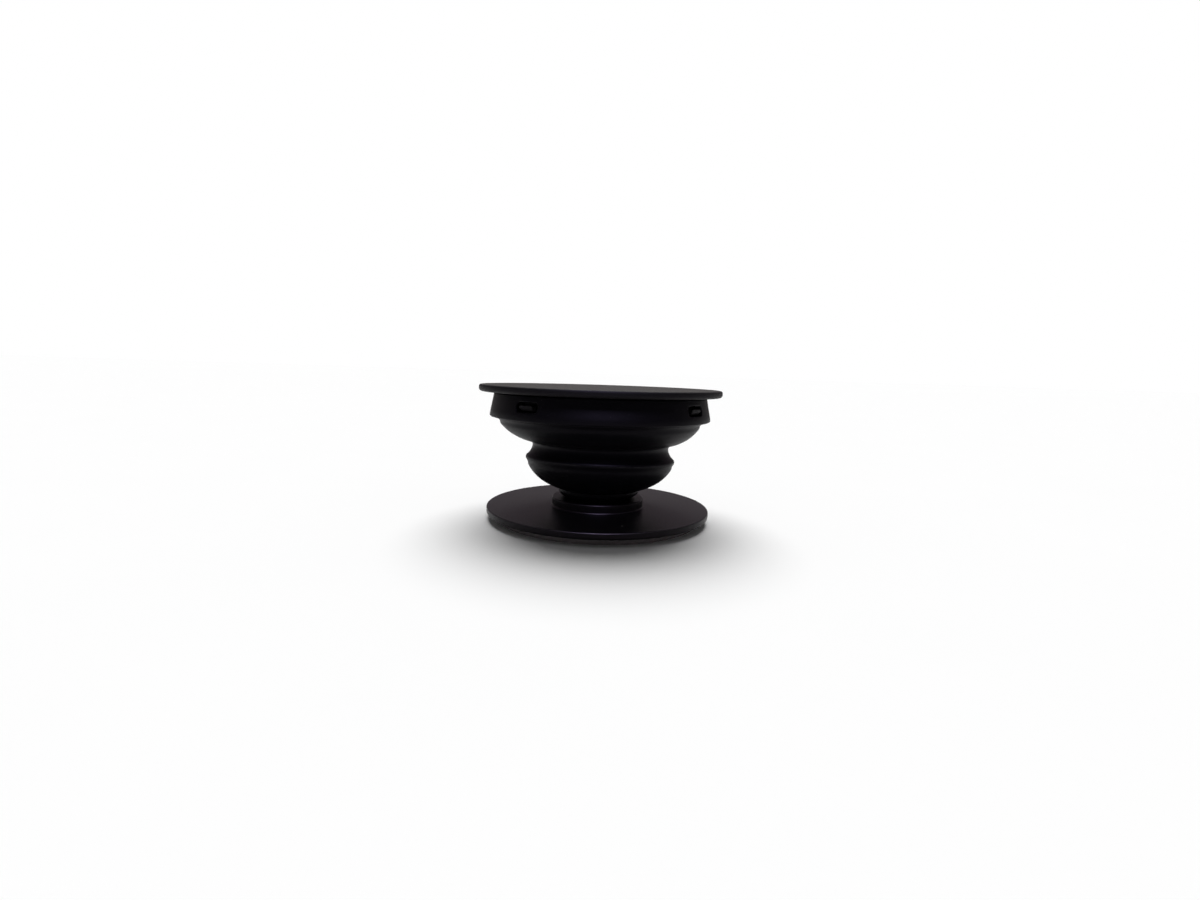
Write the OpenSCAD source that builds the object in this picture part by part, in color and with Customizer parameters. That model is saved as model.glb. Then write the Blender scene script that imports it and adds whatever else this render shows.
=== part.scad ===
// A pop-out phone grip, standing on its adhesive pad and pulled out to its full height.
// Millimetres, +Z out of the phone, origin at the centre of the pad's sticky face.

/* [Adhesive pad] */
// Thickness of the pad
pad_t = 1.1; // [0.6:0.1:1.6]
// How far the pad's edge stays inside the base disc's edge
pad_margin = 1.9; // [1:0.1:3]

/* [Base disc] */
// Diameter of the base disc
base_d = 37; // [34:0.5:42]
// Thickness of the base disc
base_t = 1.1; // [1:0.1:2]
// Rounding of the base disc's upper edge
base_top_edge_r = 0.2; // [0.1:0.05:0.4]
// Rounding of the base disc's lower edge
base_low_edge_r = 0.35; // [0.1:0.05:0.5]

/* [Socket ring] */
// Height of the socket ring above the base disc
socket_h = 1.45; // [1.2:0.05:2]
// Wall of the socket ring around the foot's flange
socket_wall = 1.2; // [0.6:0.1:1.6]
// Rounding of the ring's upper edge
socket_edge_r = 0.2; // [0.1:0.05:0.3]
// Fillet where the ring stands on the disc
socket_fillet_r = 0.25; // [0.1:0.05:0.5]
// Thickness of the lip that holds the flange down
lip_t = 0.6; // [0.4:0.05:0.8]
// Lead-in chamfer at the lip's upper inner edge
lip_chamfer = 0.2; // [0.1:0.05:0.3]
// Thickness of the floor under the flange
floor_t = 0.5; // [0.4:0.05:0.8]

/* [Foot of the bellows] */
// Diameter of the neck inside the lip
neck_d = 10.8; // [9.6:0.2:11.6]
// How far the flange reaches out under the lip
flange_reach = 1; // [0.6:0.1:1.4]
// Running clearance between the foot and its socket
foot_fit = 0.06; // [0.03:0.01:0.1]
// Wall of the hollow foot
foot_wall = 1.5; // [1:0.1:2.2]
// Thickness of the foot's closed end
foot_end_t = 0.9; // [0.6:0.1:1.1]
// Diameter of the bead above the neck
bead_d = 13.5; // [13:0.1:14.5]
// Height of the bead, from the socket ring up to the lower bowl
bead_h = 1.55; // [1.2:0.05:2]
// Height at which the bead turns in towards the neck
bead_turn = 0.5; // [0.3:0.05:0.8]
// Depth of the crease between the bead and the lower bowl
crease = 0.12; // [0.05:0.01:0.2]

/* [Bellows] */
// Wall of the two bowls
bowl_wall = 0.9; // [0.6:0.1:1.2]
// Height of the lower bowl, up to the ridge
lower_bowl_h = 4.9; // [4.6:0.05:6]
// How far the lower bowl's side leans in below the ridge
lower_bowl_lean = 0.95; // [0.6:0.05:2]
// Height of the lower bowl's turn above its bottom
lower_bowl_turn = 1.3; // [1:0.05:2]
// Diameter over the ridge
ridge_d = 24.9; // [23.6:0.1:26]
// Width of the ridge's crest
ridge_w = 0.15; // [0.1:0.05:0.3]
// Height of the collar between the ridge and the waist
collar_h = 2.05; // [1.8:0.05:3]
// Height at which the collar turns out towards the ridge
collar_turn = 0.9; // [0.5:0.05:1.2]
// Diameter of the waist
waist_d = 22.6; // [20.6:0.1:23.4]
// Height of the groove at the waist
groove_h = 0.45; // [0.3:0.05:0.6]
// Height of the upper bowl, up to the skirt
upper_bowl_h = 4.05; // [3.2:0.05:4.6]
// How far the upper bowl's side leans in below its mouth
upper_bowl_lean = 1.7; // [0.8:0.05:2.2]
// Height of the upper bowl's turn above its bottom
upper_bowl_turn = 0.85; // [0.7:0.05:1.4]

/* [Skirt] */
// Diameter of the skirt at its top
skirt_d = 34.8; // [33.6:0.2:36.4]
// How far the skirt flares out on its way down, on each side
skirt_flare = 0.7; // [0.2:0.1:1]
// Height of the skirt
skirt_h = 3.75; // [3.6:0.05:4.6]
// Wall of the skirt
skirt_wall = 1; // [0.8:0.1:1.2]
// Rounding of the skirt's lower edge
skirt_edge_r = 0.25; // [0.2:0.05:0.5]
// Slope of the underside between the skirt's lower edge and the upper bowl
skirt_under_slope = 5; // [2:1:25]
// How far the upper bowl's mouth stays inside the skirt's lower edge
skirt_step = 1.1; // [0.8:0.05:1.8]
// Depth of the small step between the skirt and the upper bowl
step_h = 0.1; // [0.05:0.05:0.3]

/* [Snap windows and hooks] */
// Number of windows in the skirt, each with its hook
window_n = 4; // [3:1:6]
// Width of a window
window_w = 4.1; // [3.6:0.1:5.4]
// Height of a window
window_h = 1.5; // [1.4:0.05:1.7]
// Corner radius of a window
window_r = 0.5; // [0.2:0.05:0.65]
// Distance from the skirt's top down to the middle of a window
window_drop = 1.6; // [1.4:0.05:1.7]
// Width of a hook
hook_w = 2.5; // [2:0.1:3]
// Height of a hook
hook_h = 0.85; // [0.8:0.05:1.1]
// Corner radius of a hook
hook_r = 0.4; // [0.2:0.05:0.4]
// How far a hook sits below the middle of its window
hook_drop = 0.05; // [0:0.01:0.1]
// How far a hook stands proud of the skirt
hook_proud = 0.15; // [0:0.05:0.5]
// Length of the sloped face under a hook's nose
hook_lead = 0.4; // [0.2:0.05:0.5]
// Rounding of a hook's upper edge
hook_edge = 0.15; // [0.1:0.05:0.3]

/* [Top disc] */
// Diameter of the top disc
top_d = 39.6; // [38:0.2:46]
// Thickness of the top disc over the skirt
top_t = 1.2; // [1.2:0.1:2]
// How far the underside rises from the skirt to the rim
rim_rise = 0.1; // [0.05:0.05:0.3]
// Rounding of the rim's lower edge
rim_low_edge_r = 0.45; // [0.3:0.05:0.7]
// Rounding of the rim's upper edge
rim_top_edge_r = 0.35; // [0.1:0.05:0.4]
// Gap between the top disc and the top of the skirt
seat_gap = 0.15; // [0.1:0.05:0.3]
// Wall of the snap ring under the top disc
snap_wall = 1.1; // [0.8:0.1:1.5]
// Height of the snap ring
snap_h = 2.6; // [2.4:0.05:2.7]
// Clearance between the snap ring and the skirt
snap_gap = 0.2; // [0.15:0.05:0.3]
// Width of the slits that free each hook's tab
slit_w = 0.5; // [0.3:0.05:0.8]
// Width of the snap ring's tab between two slits
tab_w = 4.4; // [3.6:0.1:5]
// Height left between the slits and the top disc
slit_root = 0.4; // [0.2:0.05:0.6]

/* [Hidden] */
$fn = 96;

// Short straight stretches in each bowl and in each rounded edge
bowl_steps = 9;
edge_steps = 4;
// Overlap that makes a cut run clean through a wall
through = 1;

// Radii
base_r = base_d / 2;
pad_r = base_r - pad_margin;
neck_r = neck_d / 2;
flange_r = neck_r + flange_reach;
chamber_r = flange_r + foot_fit;
socket_r = chamber_r + socket_wall;
lip_r = neck_r + foot_fit;
well_r = neck_r - foot_wall;
bead_r = bead_d / 2;
ridge_r = ridge_d / 2;
waist_r = waist_d / 2;
skirt_r = skirt_d / 2;
skirt_low_r = skirt_r + skirt_flare;
mouth_r = skirt_low_r - skirt_step;
snap_r = skirt_r - skirt_wall - snap_gap;
window_out_r = skirt_r + skirt_flare * window_drop / skirt_h;
nose_r = window_out_r + hook_proud;
top_r = top_d / 2;

// Heights above the pad's sticky face
base_z = pad_t;
base_top_z = base_z + base_t;
socket_top_z = base_top_z + socket_h;
chamber_floor_z = base_z + floor_t;
chamber_top_z = socket_top_z - lip_t;
foot_z = chamber_floor_z + foot_fit;
flange_top_z = chamber_top_z - foot_fit;
well_floor_z = foot_z + foot_end_t;
bowl_bottom_z = socket_top_z + bead_h;
ridge_z = bowl_bottom_z + lower_bowl_h;
collar_z = ridge_z + ridge_w;
waist_z = collar_z + collar_h;
upper_bottom_z = waist_z + groove_h;
mouth_z = upper_bottom_z + upper_bowl_h;
skirt_bottom_z = mouth_z + step_h;
skirt_edge_z = skirt_bottom_z + (skirt_low_r - skirt_edge_r - mouth_r) * tan(skirt_under_slope)
    + skirt_edge_r / cos(skirt_under_slope);
skirt_floor_z = skirt_bottom_z + skirt_wall;
skirt_top_z = skirt_bottom_z + skirt_h;
window_z = skirt_top_z - window_drop;
hook_z = window_z - hook_drop;
under_z = skirt_top_z + seat_gap;
snap_bottom_z = under_z - snap_h;
top_z = under_z + top_t;
rim_z = under_z + rim_rise;

// Points from a to b on a curve that leaves and meets its ends towards the corner c
function curve(a, c, b) =
    [for (i = [0 : bowl_steps])
        let (t = i / bowl_steps)
        (1 - t) * (1 - t) * a + 2 * t * (1 - t) * c + t * t * b];

// Points of a rounded edge, from one angle to another around its centre
function edge(centre, r, from, to) =
    [for (i = [0 : edge_steps])
        let (a = from + (to - from) * i / edge_steps)
        centre + r * [cos(a), sin(a)]];

// Unit vector to the left of the line from a to b
function left(a, b) = [a[1] - b[1], b[0] - a[0]] / norm(b - a);

// Corner b of a wall's far face, where the near face turns from the line a b to the line b c
function mitre(a, b, c, wall) =
    let (n = left(a, b), m = left(b, c))
    b + wall * (n + m) / (1 + n * m);

// Corner points of the bellows' outer face, from the bottom up
bead_a = [neck_r, socket_top_z];
bead_c = [bead_r, socket_top_z + bead_turn];
bead_b = [bead_r, bowl_bottom_z - 2 * crease];
lower_a = [bead_r, bowl_bottom_z];
lower_c = [ridge_r - lower_bowl_lean, bowl_bottom_z + lower_bowl_turn];
lower_b = [ridge_r, ridge_z];
collar_a = [ridge_r, collar_z];
collar_c = [waist_r, collar_z + collar_turn];
collar_b = [waist_r, waist_z];
upper_a = [waist_r + groove_h / 2, upper_bottom_z];
upper_c = [mouth_r - upper_bowl_lean, upper_bottom_z + upper_bowl_turn];
upper_b = [mouth_r, mouth_z];

// Outer face of the bellows, from the middle of the foot up to the skirt's top
function bellows_outside() = concat(
    [[0, foot_z], [flange_r, foot_z], [flange_r, flange_top_z], [neck_r, flange_top_z]],
    curve(bead_a, bead_c, bead_b),
    [[bead_r - crease, bowl_bottom_z - crease]],
    curve(lower_a, lower_c, lower_b),
    curve(collar_a, collar_c, collar_b),
    curve(upper_a, upper_c, upper_b),
    [[mouth_r, skirt_bottom_z]],
    edge([skirt_low_r - skirt_edge_r, skirt_edge_z], skirt_edge_r, skirt_under_slope - 90, 0),
    [[skirt_r, skirt_top_z]]);

// Inner face of the bellows, from the skirt's top down to the middle of the hollow foot
function bellows_inside() = concat(
    [[skirt_r - skirt_wall, skirt_top_z],
        [skirt_low_r - skirt_wall, skirt_floor_z],
        [mouth_r - bowl_wall, skirt_floor_z]],
    curve(upper_b + bowl_wall * left(upper_c, upper_b),
        mitre(upper_a, upper_c, upper_b, bowl_wall),
        upper_a + bowl_wall * left(upper_a, upper_c)),
    [[waist_r - bowl_wall, waist_z]],
    curve(mitre(lower_c, lower_b, collar_b, bowl_wall),
        mitre(lower_a, lower_c, lower_b, bowl_wall),
        lower_a + bowl_wall * left(lower_a, lower_c)),
    [[well_r, bowl_bottom_z], [well_r, well_floor_z], [0, well_floor_z]]);

// A rounded rectangle about the origin
module rounded_rectangle(w, h, r) {
    square([w - 2 * r, h], center = true);
    square([w, h - 2 * r], center = true);
    for (x = [-1, 1], y = [-1, 1])
        translate([x * (w / 2 - r), y * (h / 2 - r)]) circle(r);
}

// A bar of rounded section that points out along X at the height z, between two radii
module radial_bar(w, h, r, z, from_r, to_r) {
    translate([from_r, 0, z])
        rotate([90, 0, 90])
            linear_extrude(height = to_r - from_r) rounded_rectangle(w, h, r);
}

// Copies of a shape, one for each window
module at_each_window() {
    for (i = [0 : window_n - 1])
        rotate([0, 0, i * 360 / window_n]) children();
}

// Disc of sticky foam, cut square at its edge
module adhesive_pad() {
    color("#2b2a2d") cylinder(h = pad_t, r = pad_r);
}

// Base disc with the socket ring, undercut so that the foot's flange snaps in under the lip
module base_disc() {
    color("#1d1b1e") rotate_extrude() polygon(concat(
        [[0, base_z]],
        edge([base_r - base_low_edge_r, base_z + base_low_edge_r], base_low_edge_r, -90, 0),
        edge([base_r - base_top_edge_r, base_top_z - base_top_edge_r], base_top_edge_r, 0, 90),
        edge([socket_r + socket_fillet_r, base_top_z + socket_fillet_r], socket_fillet_r, -90, -180),
        edge([socket_r - socket_edge_r, socket_top_z - socket_edge_r], socket_edge_r, 0, 90),
        [[lip_r + lip_chamfer, socket_top_z],
            [lip_r, socket_top_z - lip_chamfer],
            [lip_r, chamber_top_z],
            [chamber_r, chamber_top_z],
            [chamber_r, chamber_floor_z],
            [0, chamber_floor_z]]));
}

// Flexible bellows in one moulding: hollow foot, two bowls and the skirt with its windows
module bellows() {
    color("#17161b") difference() {
        rotate_extrude() polygon(concat(bellows_outside(), bellows_inside()));
        at_each_window()
            radial_bar(window_w, window_h, window_r, window_z,
                skirt_r - skirt_wall - through, skirt_low_r + through);
    }
}

// Round of the snap hooks' noses, before each is cut to its width
module hook_round() {
    rotate_extrude() polygon([
        [snap_r - snap_wall / 2, hook_z - hook_h / 2],
        [nose_r - hook_lead, hook_z - hook_h / 2],
        [nose_r, hook_z - hook_h / 2 + hook_lead],
        [nose_r, hook_z + hook_h / 2 - hook_edge],
        [nose_r - hook_edge, hook_z + hook_h / 2],
        [snap_r - snap_wall / 2, hook_z + hook_h / 2]]);
}

// Slits on both sides of a hook's tab
module tab_slits() {
    for (side = [-1, 1])
        translate([snap_r - snap_wall - through, side * (tab_w + slit_w) / 2 - slit_w / 2,
                snap_bottom_z - through])
            cube([snap_wall + 2 * through, slit_w, snap_h - slit_root + through]);
}

// Top disc with its snap ring, whose hooks reach out through the skirt's windows
module top_disc() {
    color("#232124") {
        difference() {
            rotate_extrude() polygon(concat(
                [[0, under_z],
                    [snap_r - snap_wall, under_z],
                    [snap_r - snap_wall, snap_bottom_z],
                    [snap_r, snap_bottom_z],
                    [snap_r, under_z],
                    [skirt_r, under_z]],
                edge([top_r - rim_low_edge_r, rim_z + rim_low_edge_r], rim_low_edge_r, -90, 0),
                edge([top_r - rim_top_edge_r, top_z - rim_top_edge_r], rim_top_edge_r, 0, 90),
                [[0, top_z]]));
            at_each_window() tab_slits();
        }
        intersection() {
            hook_round();
            at_each_window()
                radial_bar(hook_w, hook_h, hook_r, hook_z, snap_r - snap_wall / 2, nose_r + through);
        }
    }
}

adhesive_pad();
base_disc();
bellows();
top_disc();
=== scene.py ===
import math

import bmesh
import bpy
from mathutils import Matrix


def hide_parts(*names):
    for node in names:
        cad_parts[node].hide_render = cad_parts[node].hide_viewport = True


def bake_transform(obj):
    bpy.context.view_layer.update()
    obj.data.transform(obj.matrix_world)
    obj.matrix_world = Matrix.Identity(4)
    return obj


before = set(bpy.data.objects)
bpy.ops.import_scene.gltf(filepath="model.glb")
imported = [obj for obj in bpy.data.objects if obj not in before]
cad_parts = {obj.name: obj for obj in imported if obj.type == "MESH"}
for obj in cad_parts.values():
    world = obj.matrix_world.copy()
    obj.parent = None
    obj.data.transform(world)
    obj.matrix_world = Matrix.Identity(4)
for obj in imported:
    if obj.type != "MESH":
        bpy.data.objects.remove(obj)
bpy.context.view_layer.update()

MM = 0.001

# Camera, as the photograph was taken: a wide lens close to the grip, a little above its top.
# Places are in metres, angles in degrees, lens and sensor in mm.
CAMERA_AZIMUTH = 36.5
CAMERA_DISTANCE = 97.74 * MM
CAMERA_HEIGHT = 24.16 * MM
CAMERA_SIDE = 0.17 * MM
CAMERA_PITCH = 7.40
CAMERA_ROLL = 1.82
CAMERA_LENS = 17.61
CAMERA_SENSOR = 36
CAMERA_NEAR = 5 * MM

# Bellows, in mm: radius and height of each form, as in the part's source.
FOOT_Z = 1.66
FLANGE_R = 6.4
FLANGE_TOP_Z = 2.99
NECK_R = 5.4
SOCKET_TOP_Z = 3.65
BEAD_R = 6.75
BEAD_TURN = 0.5
BOWL_BOTTOM_Z = 5.2
CREASE = 0.12
RIDGE_R = 12.45
RIDGE_Z = 10.1
LOWER_LEAN = 0.95
LOWER_TURN = 1.3
COLLAR_Z = 10.25
COLLAR_TURN = 0.9
WAIST_R = 11.3
WAIST_Z = 12.3
UPPER_BOTTOM_Z = 12.75
UPPER_LEAN = 1.7
UPPER_TURN = 0.85
MOUTH_R = 17.0
MOUTH_Z = 16.8
SKIRT_BOTTOM_Z = 16.9
SKIRT_LOW_R = 18.1
SKIRT_EDGE_R = 0.25
SKIRT_EDGE_Z = 17.225
UNDER_SLOPE = 5
SKIRT_FLOOR_Z = 17.9
SKIRT_R = 17.4
SKIRT_TOP_Z = 20.65
SKIRT_WALL = 1.0
BOWL_WALL = 0.9

# Inside of the bellows, in mm, plainer than the part's source because the top disc covers it.
WELL_R = 3.9
WELL_FLOOR_Z = 2.56
WELL_TOP_Z = 5.7
WELL_MARGIN = 0.3
RIDGE_MARGIN = 0.9
INNER_WAIST_LOW_Z = 11.7
INNER_WAIST_HIGH_Z = 12.7

# Shallow hollows of the two bowls, in mm: lowest height, highest height and depth.
LOWER_DENT = (8.8, 9.95, 0.13)
UPPER_DENT = (15.7, 16.95, 0.2)

# How much each corner of the bellows is cut to round it, in mm.
FOOT_CUT = 0.15
FLANGE_CUT = 0.1
BEAD_CUT = 0.06
RIDGE_CUT = 0.25
WAIST_CUT = 0.2
GROOVE_CUT = 0.22
MOUTH_CUT = 0.05
RIM_CUT = 0.1

# Windows of the skirt, in mm.
WINDOW_COUNT = 4
WINDOW_W = 4.1
WINDOW_H = 1.5
WINDOW_CORNER_R = 0.5
WINDOW_EDGE_R = 0.14
WINDOW_EDGE_ANGLES = (0, 25, 50, 75, 90)
WINDOW_DEPTHS = (0.3, 0.65, 0.9)
WINDOW_BACK_GROW = 0.1
WINDOW_BACK_START = 0.03
WINDOW_BACK_START_GROW = 0.04
WINDOW_Z = 19.05
BAND_LOW_Z = 18.0
BAND_HIGH_Z = 20.2

# How the mesh passes from a window's frame to its outline, as shares of the way.
FRONT_SHARES = (0.66, 0.33, 0.12)
BACK_SHARE = 0.5

# Fineness of the bellows' mesh: counts, and longest steps in mm.
SEGMENTS = 320
CURVE_STEPS = 14
BOWL_STEPS = 28
ARC_STEPS = 8
CORNER_STEPS = 5
BAND_ROWS = 8
WINDOW_SPAN = 8
WINDOW_CORNER_SPAN = 2
OUTER_STEP = 0.3
INNER_STEP = 0.9
TOP_STEP = 0.2
STEP_SLACK = 0.01

# The soft middle of the bellows leans a little: its front up, and its right side down.
# Angles are in degrees. The lean sets in and fades out between two heights each, in mm.
LEAN_FRONT_UP = 2.3
LEAN_RIGHT_DOWN = 0.65
LEAN_START_Z = (5.0, 10.2)
LEAN_END_Z = (10.2, 16.0)

# It also sits a little to the right there, in mm.
SHIFT_RIGHT = 0.22
SHIFT_START_Z = (3.7, 5.2)
SHIFT_END_Z = (12.3, 16.6)

# Places of the finish, in mm: painted highlights on the edges, the top face painted paler as if lit from
# above, and a speck of dust on the base.
TOP_EDGE_R = 19.65
TOP_EDGE_Z = 21.95
BASE_EDGE_R = 18.4
BASE_EDGE_Z = 2.15
FACE_LOW_Z = 21.9
FACE_HIGH_Z = 22
SPECK_AT = (11.4, -9.1, 2.2)
SPECK_R = 0.22
SPECK_CORE_R = SPECK_R / 3

# Studio, in metres and degrees.
FLOOR_RADIUS = 60
FLOOR_SEGMENTS = 128
WALL_SEGMENTS = 96
WALL_DISTANCE = 0.5
WALL_HEIGHT = 0.42
WALL_LOW_Z = 0.04
WALL_HIGH_Z = 0.12
WALL_FRONT_COLOUR = (0.034, 0.031, 0.060)
WALL_BACK_LOW_COLOUR = (0.345, 0.315, 0.310)
WALL_BACK_HIGH_COLOUR = (0.200, 0.158, 0.190)
FILL_LEVEL = 0.12
KEY_LEVEL = 0.93
KEY_ELEVATION = 65
KEY_SOFTNESS = 48
HIGHLIGHT_AZIMUTH = 2
HIGHLIGHT_ELEVATION = 47
HIGHLIGHT_AIM_Z = 0.011
HIGHLIGHT_DISTANCE = 0.4
HIGHLIGHT_WIDTH = 0.20
HIGHLIGHT_HEIGHT = 0.09
HIGHLIGHT_POWER = 2.8
HIGHLIGHT_COLOUR = (0.70, 0.66, 1.0)


def make_camera():
    data = bpy.data.cameras.new("camera")
    data.lens = CAMERA_LENS
    data.sensor_width = CAMERA_SENSOR
    data.clip_start = CAMERA_NEAR
    camera = bpy.data.objects.new("camera", data)
    bpy.context.collection.objects.link(camera)
    turn = Matrix.Rotation(math.radians(CAMERA_AZIMUTH), 4, "Z")
    place = Matrix.Translation((CAMERA_SIDE, -CAMERA_DISTANCE, CAMERA_HEIGHT))
    pitch = Matrix.Rotation(math.radians(90 - CAMERA_PITCH), 4, "X")
    roll = Matrix.Rotation(math.radians(CAMERA_ROLL), 4, "Z")
    camera.matrix_world = turn @ place @ pitch @ roll
    bpy.context.scene.camera = camera


# Profile curves of the bellows.

def curve(a, c, b, steps=CURVE_STEPS):
    """Points from a to b that bend towards c."""
    points = []
    for i in range(steps + 1):
        t = i / steps
        shares = (1 - t) ** 2, 2 * t * (1 - t), t * t
        points.append(tuple(sum(w * p for w, p in zip(shares, along)) for along in zip(a, c, b)))
    return points


def arc(centre, radius, start, end):
    """Points on a circle, between two angles in degrees."""
    points = []
    for i in range(ARC_STEPS + 1):
        angle = math.radians(start + (end - start) * i / ARC_STEPS)
        points.append((centre[0] + radius * math.cos(angle), centre[1] + radius * math.sin(angle)))
    return points


def soften(points, corner, cut):
    """Rounds the corner at the given point, cutting that much off on each side."""
    at = min(range(len(points)), key=lambda i: math.dist(points[i], corner))

    def walk(direction):
        left, i = cut, at
        while True:
            step = math.dist(points[i], points[i + direction])
            if step > left:
                share = left / step
                point = tuple(p + (q - p) * share for p, q in zip(points[i], points[i + direction]))
                return point, i + direction
            left -= step
            i += direction

    before, first = walk(-1)
    after, last = walk(1)
    return points[:first + 1] + curve(before, points[at], after, CORNER_STEPS) + points[last:]


def inset(points, wall):
    """The same line, moved to its left by the wall."""
    moved = []
    for i, (r, z) in enumerate(points):
        a, b = points[max(i - 1, 0)], points[min(i + 1, len(points) - 1)]
        length = math.dist(a, b)
        moved.append((r - (b[1] - a[1]) * wall / length, z + (b[0] - a[0]) * wall / length))
    return moved


def even(points, step):
    """The same line with no stretch longer than the step."""
    result = [points[0]]
    for a, b in zip(points, points[1:]):
        parts = max(1, math.ceil(math.dist(a, b) / step - STEP_SLACK))
        for i in range(1, parts + 1):
            result.append(tuple(p + (q - p) * i / parts for p, q in zip(a, b)))
    return result


def lower_bowl(steps):
    middle = (RIDGE_R - LOWER_LEAN, BOWL_BOTTOM_Z + LOWER_TURN)
    return curve((BEAD_R, BOWL_BOTTOM_Z), middle, (RIDGE_R, RIDGE_Z), steps)


def collar():
    return curve((RIDGE_R, COLLAR_Z), (WAIST_R, COLLAR_Z + COLLAR_TURN), (WAIST_R, WAIST_Z))


def upper_bowl_start():
    """The top of the groove at the waist, where the upper bowl starts."""
    return WAIST_R + (UPPER_BOTTOM_Z - WAIST_Z) / 2, UPPER_BOTTOM_Z


def upper_bowl(steps):
    middle = (MOUTH_R - UPPER_LEAN, UPPER_BOTTOM_Z + UPPER_TURN)
    return curve(upper_bowl_start(), middle, (MOUTH_R, MOUTH_Z), steps)


def dent(points, low_z, high_z, depth):
    """The same line with a shallow hollow between two heights."""
    dented = []
    for r, z in points:
        share = min(1, max(0, (z - low_z) / (high_z - low_z)))
        dented.append((r - depth * math.sin(math.pi * share) ** 2, z))
    return dented


def skirt_outer_r(z):
    share = (z - SKIRT_EDGE_Z) / (SKIRT_TOP_Z - SKIRT_EDGE_Z)
    return SKIRT_LOW_R + (SKIRT_R - SKIRT_LOW_R) * share


def skirt_inner_r(z):
    return skirt_outer_r(z) - SKIRT_WALL


def band_heights():
    return [BAND_LOW_Z + (BAND_HIGH_Z - BAND_LOW_Z) * k / BAND_ROWS for k in range(BAND_ROWS + 1)]


def outside_profile():
    """From the middle of the foot up to just below the band of windows."""
    bead_middle = (BEAD_R, SOCKET_TOP_Z + BEAD_TURN)
    edge_centre = (SKIRT_LOW_R - SKIRT_EDGE_R, SKIRT_EDGE_Z)
    points = [(0, FOOT_Z), (FLANGE_R, FOOT_Z), (FLANGE_R, FLANGE_TOP_Z), (NECK_R, FLANGE_TOP_Z)]
    points += curve((NECK_R, SOCKET_TOP_Z), bead_middle, (BEAD_R, BOWL_BOTTOM_Z - 2 * CREASE))
    points.append((BEAD_R - CREASE, BOWL_BOTTOM_Z - CREASE))
    points += dent(lower_bowl(BOWL_STEPS), *LOWER_DENT)
    points += collar()[1:] + dent(upper_bowl(BOWL_STEPS), *UPPER_DENT)
    points += [(MOUTH_R, SKIRT_BOTTOM_Z)] + arc(edge_centre, SKIRT_EDGE_R, UNDER_SLOPE - 90, 0)
    for corner, cut in (
        ((FLANGE_R, FOOT_Z), FOOT_CUT),
        ((FLANGE_R, FLANGE_TOP_Z), FLANGE_CUT),
        ((NECK_R, FLANGE_TOP_Z), FLANGE_CUT),
        ((BEAD_R, BOWL_BOTTOM_Z), BEAD_CUT),
        ((RIDGE_R, RIDGE_Z), RIDGE_CUT),
        ((WAIST_R, WAIST_Z), WAIST_CUT),
        (upper_bowl_start(), GROOVE_CUT),
        ((MOUTH_R, SKIRT_BOTTOM_Z), MOUTH_CUT),
    ):
        points = soften(points, corner, cut)
    return even(points, OUTER_STEP)[:-1]


def top_profile():
    """Over the top edge of the skirt, from the band of windows outside to the one inside."""
    outer_corner = (SKIRT_R, SKIRT_TOP_Z)
    inner_corner = (SKIRT_R - SKIRT_WALL, SKIRT_TOP_Z)
    points = [(skirt_outer_r(BAND_HIGH_Z), BAND_HIGH_Z), outer_corner, inner_corner]
    points.append((skirt_inner_r(BAND_HIGH_Z), BAND_HIGH_Z))
    points = soften(points, outer_corner, RIM_CUT)
    points = soften(points, inner_corner, RIM_CUT)
    return even(points, TOP_STEP)[1:-1]


def inside_profile():
    """From just below the band of windows inside, down to the middle of the well."""
    lower = inset(lower_bowl(CURVE_STEPS), BOWL_WALL)
    lower = [p for p in lower if WELL_R + WELL_MARGIN < p[0] < RIDGE_R - BOWL_WALL - RIDGE_MARGIN]
    points = [(skirt_inner_r(BAND_LOW_Z), BAND_LOW_Z), (SKIRT_LOW_R - SKIRT_WALL, SKIRT_FLOOR_Z)]
    points += [(MOUTH_R - BOWL_WALL, SKIRT_FLOOR_Z)]
    points += inset(upper_bowl(CURVE_STEPS), BOWL_WALL)[:0:-1]
    points += [(WAIST_R - BOWL_WALL, INNER_WAIST_HIGH_Z), (WAIST_R - BOWL_WALL, INNER_WAIST_LOW_Z)]
    points += lower[::-1]
    points += [(WELL_R, WELL_TOP_Z), (WELL_R, WELL_FLOOR_Z), (0, WELL_FLOOR_Z)]
    return even(points, INNER_STEP)[1:]


# Building the bellows' mesh.

def polar(mesh, r, angle, z):
    return mesh.verts.new((r * MM * math.cos(angle), r * MM * math.sin(angle), z * MM))


def ring(mesh, r, z):
    """A ring of vertices. On the axis it is one vertex, as often as a ring has segments."""
    if r == 0:
        return [mesh.verts.new((0, 0, z * MM))] * SEGMENTS
    return [polar(mesh, r, math.tau * i / SEGMENTS, z) for i in range(SEGMENTS)]


def add_face(mesh, corners):
    """A face of four corners, or of three where two are the same vertex on the axis."""
    mesh.faces.new(list(dict.fromkeys(corners)))


def bridge(mesh, low, high, segments):
    for i in segments:
        j = (i + 1) % SEGMENTS
        add_face(mesh, (low[i], low[j], high[j], high[i]))


def bridge_loops(mesh, first, second):
    for i in range(len(first)):
        j = (i + 1) % len(first)
        add_face(mesh, (first[i], first[j], second[j], second[i]))


def window_centres():
    return [SEGMENTS * n // WINDOW_COUNT for n in range(WINDOW_COUNT)]


def plain_segments():
    """The segments of a ring that no window cuts."""
    cut = {(c + i) % SEGMENTS for c in window_centres() for i in range(-WINDOW_SPAN, WINDOW_SPAN)}
    return [i for i in range(SEGMENTS) if i not in cut]


def sparse_ring(mesh, r, z):
    """A ring inside the band: only the vertices that its plain segments use."""
    needed = {i for s in plain_segments() for i in (s, (s + 1) % SEGMENTS)}
    return [polar(mesh, r, math.tau * i / SEGMENTS, z) if i in needed else None for i in range(SEGMENTS)]


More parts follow.
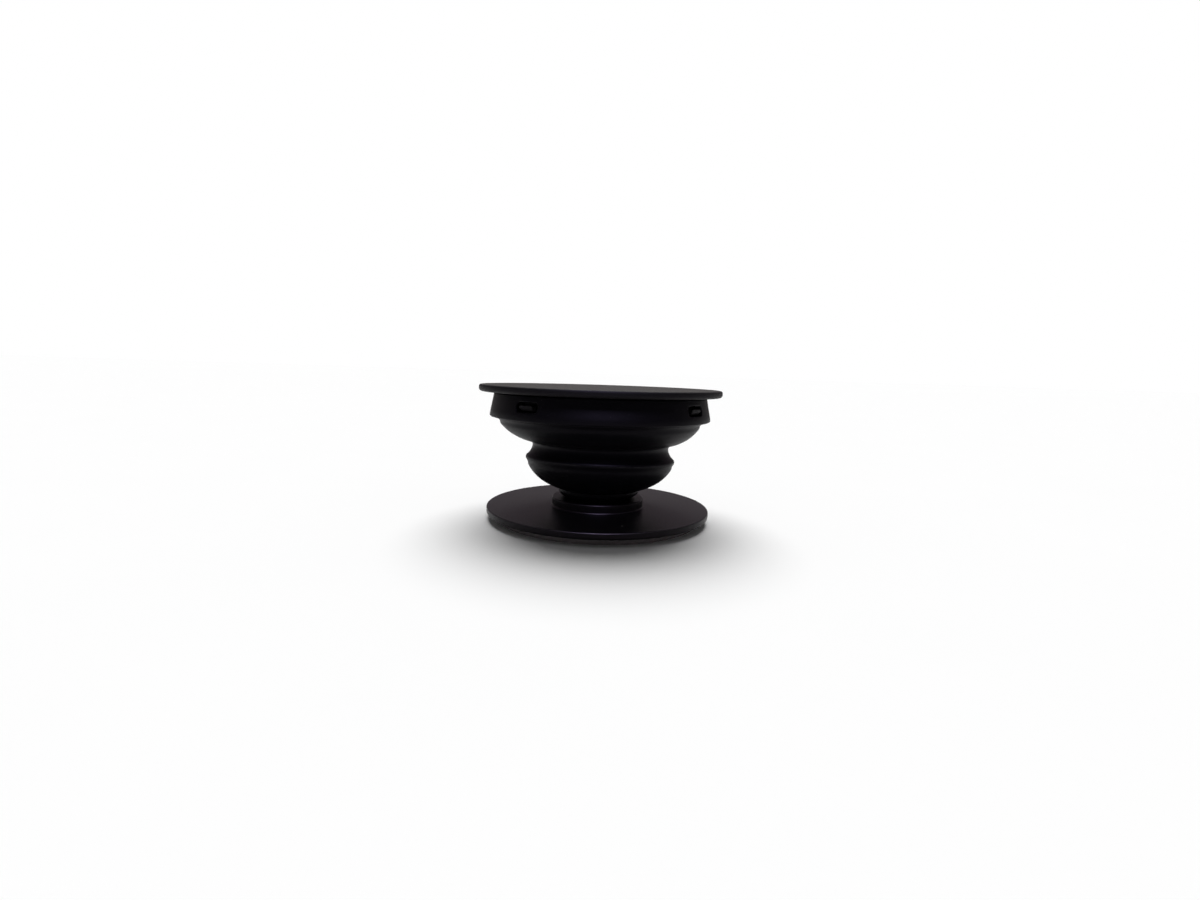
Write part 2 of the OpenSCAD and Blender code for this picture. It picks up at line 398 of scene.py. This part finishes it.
def frame_steps():
    """The places round a window's frame, from its top left corner, as (column, row)."""
    half = BAND_ROWS // 2
    top = [(i, half) for i in range(-WINDOW_SPAN, WINDOW_SPAN)]
    right = [(WINDOW_SPAN, k) for k in range(half, -half, -1)]
    return top + right + [(-i, -k) for i, k in top + right]


def opening_point(column, row, grow):
    """The place on the window's rounded outline that faces a place on its frame, in mm."""
    half = BAND_ROWS // 2
    sign_x, sign_z = (1 if column >= 0 else -1), (1 if row >= 0 else -1)
    column, row = abs(column), abs(row)
    straight_w = WINDOW_W / 2 - WINDOW_CORNER_R
    straight_h = WINDOW_H / 2 - WINDOW_CORNER_R
    radius = WINDOW_CORNER_R + grow
    last_column, last_row = WINDOW_SPAN - WINDOW_CORNER_SPAN, half - WINDOW_CORNER_SPAN
    if column <= last_column:
        x, z = straight_w * column / last_column, WINDOW_H / 2 + grow
    elif column == WINDOW_SPAN and row <= last_row:
        x, z = WINDOW_W / 2 + grow, straight_h * row / last_row
    else:
        turn = (column - last_column + half - row) / (2 * WINDOW_CORNER_SPAN)
        angle = math.pi / 2 * (1 - turn)
        x, z = straight_w + radius * math.cos(angle), straight_h + radius * math.sin(angle)
    return sign_x * x, sign_z * z


def opening_loop(mesh, centre, grow, depth, blend_to_frame=0.0):
    """One loop of vertices round a window: on its outline, or part of the way to its frame."""
    middle_r = (SKIRT_LOW_R + SKIRT_R) / 2
    step_w = math.tau * middle_r / SEGMENTS
    band_middle = (BAND_LOW_Z + BAND_HIGH_Z) / 2
    step_h = (BAND_HIGH_Z - BAND_LOW_Z) / BAND_ROWS
    loop = []
    for column, row in frame_steps():
        x, z = opening_point(column, row, grow)
        z += WINDOW_Z
        x += (column * step_w - x) * blend_to_frame
        z += (band_middle + row * step_h - z) * blend_to_frame
        angle = math.tau * centre / SEGMENTS + x / middle_r
        loop.append(polar(mesh, skirt_outer_r(z) - depth, angle, z))
    return loop


def frame_loop(rings, centre):
    half = BAND_ROWS // 2
    return [rings[half + row][(centre + column) % SEGMENTS] for column, row in frame_steps()]


def cut_window(mesh, outer_rings, inner_rings, centre):
    loops = [frame_loop(outer_rings, centre)]
    loops += [opening_loop(mesh, centre, WINDOW_EDGE_R, 0, share) for share in FRONT_SHARES]
    for angle in WINDOW_EDGE_ANGLES:
        turn = math.radians(angle)
        grow = WINDOW_EDGE_R * (1 - math.sin(turn))
        loops.append(opening_loop(mesh, centre, grow, WINDOW_EDGE_R * (1 - math.cos(turn))))
    loops += [opening_loop(mesh, centre, 0, depth) for depth in WINDOW_DEPTHS]
    loops.append(opening_loop(mesh, centre, WINDOW_BACK_START_GROW, SKIRT_WALL - WINDOW_BACK_START))
    for share in (0, BACK_SHARE):
        loops.append(opening_loop(mesh, centre, WINDOW_BACK_GROW, SKIRT_WALL, share))
    loops.append(frame_loop(inner_rings, centre))
    for first, second in zip(loops, loops[1:]):
        bridge_loops(mesh, first, second)


def band(mesh, radius_at):
    heights = band_heights()
    ends = {0, BAND_ROWS}
    return [(ring if k in ends else sparse_ring)(mesh, radius_at(z), z) for k, z in enumerate(heights)]


def stack(mesh, rings, segments):
    for low, high in zip(rings, rings[1:]):
        bridge(mesh, low, high, segments)


def smooth_step(value, low, high):
    t = min(1, max(0, (value - low) / (high - low)))
    return t * t * (3 - 2 * t)


def rise_and_fall(z, start_low, start_high, end_low, end_high):
    """0 below the start, 1 between start and end, and 0 above the end, with smooth steps."""
    return smooth_step(z, start_low, start_high) - smooth_step(z, end_low, end_high)


def camera_directions():
    """Level directions towards the camera and to its right."""
    azimuth = math.radians(CAMERA_AZIMUTH)
    return (math.sin(azimuth), -math.cos(azimuth)), (math.cos(azimuth), math.sin(azimuth))


def lean_slopes():
    """How much the leaning middle rises for each step along X and along Y."""
    front, right = camera_directions()
    up, down = math.tan(math.radians(LEAN_FRONT_UP)), math.tan(math.radians(LEAN_RIGHT_DOWN))
    return up * front[0] - down * right[0], up * front[1] - down * right[1]


def lean_middle(mesh):
    """Tips the ridge and the waist as the photograph shows, and leaves the foot and the skirt level."""
    right = camera_directions()[1]
    slope_x, slope_y = lean_slopes()
    for vertex in mesh.verts:
        x, y, z = vertex.co
        lean = rise_and_fall(z / MM, *LEAN_START_Z, *LEAN_END_Z)
        shift = rise_and_fall(z / MM, *SHIFT_START_Z, *SHIFT_END_Z) * SHIFT_RIGHT * MM
        vertex.co.z += lean * (slope_x * x + slope_y * y)
        vertex.co.x += shift * right[0]
        vertex.co.y += shift * right[1]


def make_bellows():
    mesh = bmesh.new()
    everywhere = range(SEGMENTS)
    outside = [ring(mesh, r, z) for r, z in outside_profile()]
    outer_band = band(mesh, skirt_outer_r)
    over_top = [ring(mesh, r, z) for r, z in top_profile()]
    inner_band = band(mesh, skirt_inner_r)
    inside = [ring(mesh, r, z) for r, z in inside_profile()]
    stack(mesh, outside + outer_band[:1], everywhere)
    stack(mesh, outer_band, plain_segments())
    stack(mesh, outer_band[-1:] + over_top + inner_band[-1:], everywhere)
    stack(mesh, inner_band, plain_segments())
    stack(mesh, inner_band[:1] + inside, everywhere)
    for centre in window_centres():
        cut_window(mesh, outer_band, inner_band, centre)
    lean_middle(mesh)
    bmesh.ops.recalc_face_normals(mesh, faces=mesh.faces)
    data = bpy.data.meshes.new("bellows_skin")
    mesh.to_mesh(data)
    mesh.free()
    data.shade_smooth()
    piece = bpy.data.objects.new("bellows_skin", data)
    bpy.context.collection.objects.link(piece)
    return piece


# Materials.

class Material:
    """A short way to put a material's nodes together."""

    def __init__(self, name):
        self.material = bpy.data.materials.new(name)
        self.material.use_nodes = True
        self.tree = self.material.node_tree
        self.shader = self.tree.nodes["Principled BSDF"]
        place = self.add("ShaderNodeTexCoord")
        self.place = place.outputs["Object"]

    def add(self, kind, **settings):
        node = self.tree.nodes.new(kind)
        for key, value in settings.items():
            setattr(node, key, value)
        return node

    def link(self, source, target):
        self.tree.links.new(source, target)

    def noise(self, size_mm, detail=3.0, roughness=0.5):
        """Smooth noise between 0 and 1, with forms of about the given size."""
        noise = self.add("ShaderNodeTexNoise")
        noise.inputs["Scale"].default_value = 1 / (size_mm * MM)
        noise.inputs["Detail"].default_value = detail
        noise.inputs["Roughness"].default_value = roughness
        self.link(self.place, noise.inputs["Vector"])
        return noise.outputs["Fac"]

    def ramp(self, value, low, high, from_value=0.0, to_value=1.0):
        """The value, turned smoothly from from_value at low to to_value at high."""
        node = self.add("ShaderNodeMapRange", interpolation_type="SMOOTHSTEP")
        node.inputs["From Min"].default_value = low
        node.inputs["From Max"].default_value = high
        node.inputs["To Min"].default_value = from_value
        node.inputs["To Max"].default_value = to_value
        self.link(value, node.inputs["Value"])
        return node.outputs["Result"]

    def maths(self, operation, first, second):
        node = self.add("ShaderNodeMath", operation=operation)
        for socket, value in zip(node.inputs, (first, second)):
            if isinstance(value, (int, float)):
                socket.default_value = value
            else:
                self.link(value, socket)
        return node.outputs["Value"]

    def along(self, direction):
        """How far a place lies along a direction."""
        dot = self.add("ShaderNodeVectorMath", operation="DOT_PRODUCT")
        dot.inputs[1].default_value = direction
        self.link(self.place, dot.inputs[0])
        return dot.outputs["Value"]

    def height(self):
        return self.along((0, 0, 1))

    def radius(self):
        """How far a place lies from the grip's axis."""
        flat = self.add("ShaderNodeVectorMath", operation="MULTIPLY")
        flat.inputs[1].default_value = (1, 1, 0)
        self.link(self.place, flat.inputs[0])
        length = self.add("ShaderNodeVectorMath", operation="LENGTH")
        self.link(flat.outputs["Vector"], length.inputs[0])
        return length.outputs["Value"]

    def near(self, value, centre_mm, reach_mm):
        """1 at the centre, 0 at reach_mm from it and beyond."""
        away = self.maths("ABSOLUTE", self.maths("SUBTRACT", value, centre_mm * MM), 0)
        return self.ramp(away, low=0, high=reach_mm * MM, from_value=1, to_value=0)

    def mix(self, share, first, second):
        node = self.add("ShaderNodeMix", data_type="RGBA")
        self.link(share, node.inputs["Factor"])
        for socket, value in ((node.inputs[6], first), (node.inputs[7], second)):
            if isinstance(value, tuple):
                socket.default_value = (*value, 1)
            else:
                self.link(value, socket)
        return node.outputs[2]

    def bump(self, heights):
        """Adds up (value, height in mm) pairs as one bumpy surface."""
        normal = None
        for value, height_mm in heights:
            node = self.add("ShaderNodeBump")
            node.inputs["Distance"].default_value = height_mm * MM
            self.link(value, node.inputs["Height"])
            if normal:
                self.link(normal, node.inputs["Normal"])
            normal = node.outputs["Normal"]
        self.link(normal, self.shader.inputs["Normal"])

    def finish(self, colour, roughness, specular, tint=(1, 1, 1)):
        self.link(colour, self.shader.inputs["Base Color"])
        self.link(roughness, self.shader.inputs["Roughness"])
        self.shader.inputs["Specular IOR Level"].default_value = specular
        self.shader.inputs["Specular Tint"].default_value = (*tint, 1)
        return self.material


def dust(m, amount):
    """Faint dust: small pale spots, in patches."""
    spots = m.ramp(m.noise(size_mm=0.22, detail=2.0, roughness=0.6), low=0.70, high=0.78)
    patches = m.ramp(m.noise(size_mm=6.0, detail=2.0), low=0.45, high=0.75)
    return m.maths("MULTIPLY", m.maths("MULTIPLY", spots, patches), amount)


def disc_edge(m, radius_mm, height_mm, radius_reach_mm, height_reach_mm):
    """1 on the upper edge of a disc, and 0 away from it."""
    rim = m.near(m.radius(), radius_mm, radius_reach_mm)
    return m.maths("MULTIPLY", rim, m.near(m.height(), height_mm, height_reach_mm))


def patchy_highlight(m, edge, amount, patch_mm, low=0.35, high=0.7):
    """A painted highlight along an edge, stronger and weaker in patches."""
    patches = m.ramp(m.noise(patch_mm, detail=4.0, roughness=0.6), low, high)
    return m.maths("MULTIPLY", m.maths("MULTIPLY", edge, patches), amount)


def speck(m):
    """One larger speck of dust on the base, in front of the bellows."""
    away = m.add("ShaderNodeVectorMath", operation="DISTANCE")
    away.inputs[1].default_value = [c * MM for c in SPECK_AT]
    m.link(m.place, away.inputs[0])
    return m.ramp(away.outputs["Value"], SPECK_CORE_R * MM, SPECK_R * MM, from_value=0.9, to_value=0)


def top_plastic():
    m = Material("top_plastic")
    grain = m.noise(size_mm=0.16, detail=4.0, roughness=0.6)
    cloud = m.noise(size_mm=4.0)
    edge = disc_edge(m, TOP_EDGE_R, TOP_EDGE_Z, radius_reach_mm=0.15, height_reach_mm=0.08)
    # Painted light: the top face is coloured paler than the rest of the disc, as if lit from above.
    face = m.ramp(m.height(), FACE_LOW_Z * MM, FACE_HIGH_Z * MM)
    painted_light_face_colour = m.mix(cloud, (0.019, 0.0185, 0.0150), (0.027, 0.026, 0.021))
    colour = m.mix(cloud, (0.0030, 0.0028, 0.0032), (0.0050, 0.0046, 0.0050))
    colour = m.mix(face, colour, painted_light_face_colour)
    # Painted highlight: a paler line along the top disc's upper edge, in patches.
    colour = m.mix(patchy_highlight(m, edge, amount=0.35, patch_mm=0.8), colour, (0.03, 0.029, 0.029))
    colour = m.mix(dust(m, amount=0.5), colour, (0.2, 0.195, 0.185))
    roughness = m.ramp(grain, low=0.3, high=0.7, from_value=0.44, to_value=0.58)
    m.bump([(grain, 0.010), (m.noise(size_mm=1.2, detail=2.0), 0.012)])
    return m.finish(colour, roughness, specular=0.08, tint=(0.95, 0.85, 1.0))


def base_plastic():
    m = Material("base_plastic")
    grain = m.noise(size_mm=0.2, detail=4.0, roughness=0.6)
    cloud = m.noise(size_mm=5.0)
    edge = disc_edge(m, BASE_EDGE_R, BASE_EDGE_Z, radius_reach_mm=0.15, height_reach_mm=0.1)
    colour = m.mix(cloud, (0.0022, 0.0018, 0.0023), (0.0036, 0.0030, 0.0037))
    # Painted highlight: a paler line along the base disc's upper edge, in patches.
    colour = m.mix(patchy_highlight(m, edge, amount=0.6, patch_mm=0.9), colour, (0.05, 0.045, 0.050))
    colour = m.mix(dust(m, amount=0.6), colour, (0.2, 0.185, 0.18))
    colour = m.mix(speck(m), colour, (0.7, 0.68, 0.66))
    roughness = m.ramp(grain, low=0.3, high=0.7, from_value=0.31, to_value=0.44)
    m.bump([(grain, 0.006), (m.noise(size_mm=1.5, detail=2.0), 0.010)])
    return m.finish(colour, roughness, specular=0.125, tint=(1.0, 0.86, 0.98))


def bellows_rubber():
    m = Material("bellows_rubber")
    grain = m.noise(size_mm=0.14, detail=4.0, roughness=0.6)
    cloud = m.noise(size_mm=3.5)
    slope_x, slope_y = lean_slopes()
    ridge = m.near(m.along((-slope_x, -slope_y, 1)), RIDGE_Z, reach_mm=0.13)
    colour = m.mix(cloud, (0.0012, 0.0011, 0.0016), (0.0020, 0.0019, 0.0026))
    # Painted highlight: a paler line along the ridge's crest, in broken patches.
    painted_ridge_highlight = patchy_highlight(m, ridge, amount=0.5, patch_mm=1.6, low=0.3, high=0.72)
    colour = m.mix(painted_ridge_highlight, colour, (0.036, 0.035, 0.038))
    colour = m.mix(dust(m, amount=0.5), colour, (0.16, 0.155, 0.155))
    roughness = m.ramp(grain, low=0.3, high=0.7, from_value=0.38, to_value=0.52)
    m.bump([(grain, 0.006), (m.noise(size_mm=1.5, detail=2.0), 0.012)])
    return m.finish(colour, roughness, specular=0.06, tint=(0.92, 0.84, 1.0))


def pad_foam():
    m = Material("pad_foam")
    cells = m.noise(size_mm=0.12, detail=4.0, roughness=0.7)
    cloud = m.noise(size_mm=2.0)
    colour = m.mix(cloud, (0.235, 0.205, 0.218), (0.285, 0.250, 0.265))
    open_cells = m.ramp(cells, low=0.35, high=0.6, from_value=0.5, to_value=0)
    colour = m.mix(open_cells, colour, (0.120, 0.106, 0.114))
    roughness = m.ramp(cells, low=0.3, high=0.7, from_value=0.6, to_value=0.85)
    m.bump([(cells, 0.03)])
    return m.finish(colour, roughness, specular=0.25)


def floor_white():
    m = Material("floor_white")
    colour = m.mix(m.noise(size_mm=30.0, detail=2.0), (0.94, 0.94, 0.94), (0.95, 0.95, 0.95))
    roughness = m.ramp(m.noise(size_mm=5.0, detail=2.0), low=0.3, high=0.7, from_value=0.9, to_value=1)
    return m.finish(colour, roughness, specular=0)


def wall_grey():
    m = Material("wall_grey")
    front_x, front_y = camera_directions()[0]
    back = m.ramp(m.along((-front_x, -front_y, 0)), -WALL_DISTANCE, WALL_DISTANCE)
    high = m.ramp(m.height(), WALL_LOW_Z, WALL_HIGH_Z)
    back_colour = m.mix(high, WALL_BACK_LOW_COLOUR, WALL_BACK_HIGH_COLOUR)
    colour = m.mix(back, WALL_FRONT_COLOUR, back_colour)
    m.link(colour, m.shader.inputs["Emission Color"])
    m.shader.inputs["Emission Strength"].default_value = 1
    m.shader.inputs["Base Color"].default_value = (0, 0, 0, 1)
    m.shader.inputs["Specular IOR Level"].default_value = 0
    return m.material


def paint(piece, material):
    piece.data.materials.clear()
    piece.data.materials.append(material)


# Building the studio.

def make_floor():
    mesh = bmesh.new()
    bmesh.ops.create_circle(mesh, cap_ends=True, segments=FLOOR_SEGMENTS, radius=FLOOR_RADIUS)
    data = bpy.data.meshes.new("floor")
    mesh.to_mesh(data)
    mesh.free()
    floor = bpy.data.objects.new("floor", data)
    bpy.context.collection.objects.link(floor)
    paint(floor, floor_white())


def make_dim_walls():
    """Dim studio walls all round, which only the gloss of the grip shows."""
    mesh = bmesh.new()
    size = {"radius1": WALL_DISTANCE, "radius2": WALL_DISTANCE, "depth": WALL_HEIGHT}
    bmesh.ops.create_cone(mesh, segments=WALL_SEGMENTS, **size)
    data = bpy.data.meshes.new("dim_walls")
    mesh.to_mesh(data)
    mesh.free()
    data.transform(Matrix.Translation((0, 0, WALL_HEIGHT / 2)))
    walls = bpy.data.objects.new("dim_walls", data)
    walls.visible_camera = False
    walls.visible_diffuse = False
    walls.visible_shadow = False
    bpy.context.collection.objects.link(walls)
    paint(walls, wall_grey())


def make_window_light():
    """A small light on the camera's side, which only the gloss of the grip shows."""
    data = bpy.data.lights.new("window_light", "AREA")
    data.shape = "RECTANGLE"
    data.size = HIGHLIGHT_WIDTH
    data.size_y = HIGHLIGHT_HEIGHT
    data.energy = HIGHLIGHT_POWER
    data.color = HIGHLIGHT_COLOUR
    lamp = bpy.data.objects.new("window_light", data)
    lamp.visible_diffuse = False
    bpy.context.collection.objects.link(lamp)
    aim = Matrix.Translation((0, 0, HIGHLIGHT_AIM_Z))
    turn = Matrix.Rotation(math.radians(CAMERA_AZIMUTH + HIGHLIGHT_AZIMUTH), 4, "Z")
    tilt = Matrix.Rotation(math.radians(90 - HIGHLIGHT_ELEVATION), 4, "X")
    lamp.matrix_world = aim @ turn @ tilt @ Matrix.Translation((0, 0, HIGHLIGHT_DISTANCE))


def make_key_light():
    """A large soft light, high behind the grip, that lights the whole floor evenly."""
    data = bpy.data.lights.new("key_light", "SUN")
    data.angle = math.radians(KEY_SOFTNESS)
    data.energy = math.pi * KEY_LEVEL / math.sin(math.radians(KEY_ELEVATION))
    lamp = bpy.data.objects.new("key_light", data)
    bpy.context.collection.objects.link(lamp)
    turn = Matrix.Rotation(math.radians(CAMERA_AZIMUTH + 180), 4, "Z")
    lamp.matrix_world = turn @ Matrix.Rotation(math.radians(90 - KEY_ELEVATION), 4, "X")


def make_world():
    """White to the camera and in gloss, and a weak even light for the rest."""
    world = bpy.data.worlds.new("studio")
    world.use_nodes = True
    tree = world.node_tree
    path = tree.nodes.new("ShaderNodeLightPath")
    strength = tree.nodes.new("ShaderNodeMath")
    strength.operation = "MAXIMUM"
    strength.inputs[0].default_value = FILL_LEVEL
    seen = path.outputs["Is Camera Ray"]
    for name in ("Is Glossy Ray", "Is Transmission Ray"):
        either = tree.nodes.new("ShaderNodeMath")
        either.operation = "MAXIMUM"
        tree.links.new(seen, either.inputs[0])
        tree.links.new(path.outputs[name], either.inputs[1])
        seen = either.outputs["Value"]
    tree.links.new(seen, strength.inputs[1])
    background = tree.nodes["Background"]
    background.inputs["Color"].default_value = (1, 1, 1, 1)
    tree.links.new(strength.outputs["Value"], background.inputs["Strength"])
    bpy.context.scene.world = world


def make_studio():
    make_world()
    make_floor()
    make_dim_walls()
    make_key_light()
    make_window_light()


make_camera()
bpy.context.scene.view_settings.view_transform = "Standard"
make_studio()

bellows = make_bellows()
paint(bellows, bellows_rubber())
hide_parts("bellows")
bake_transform(bellows)

paint(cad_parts["top_disc"], top_plastic())
paint(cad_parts["base_disc"], base_plastic())
paint(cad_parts["adhesive_pad"], pad_foam())
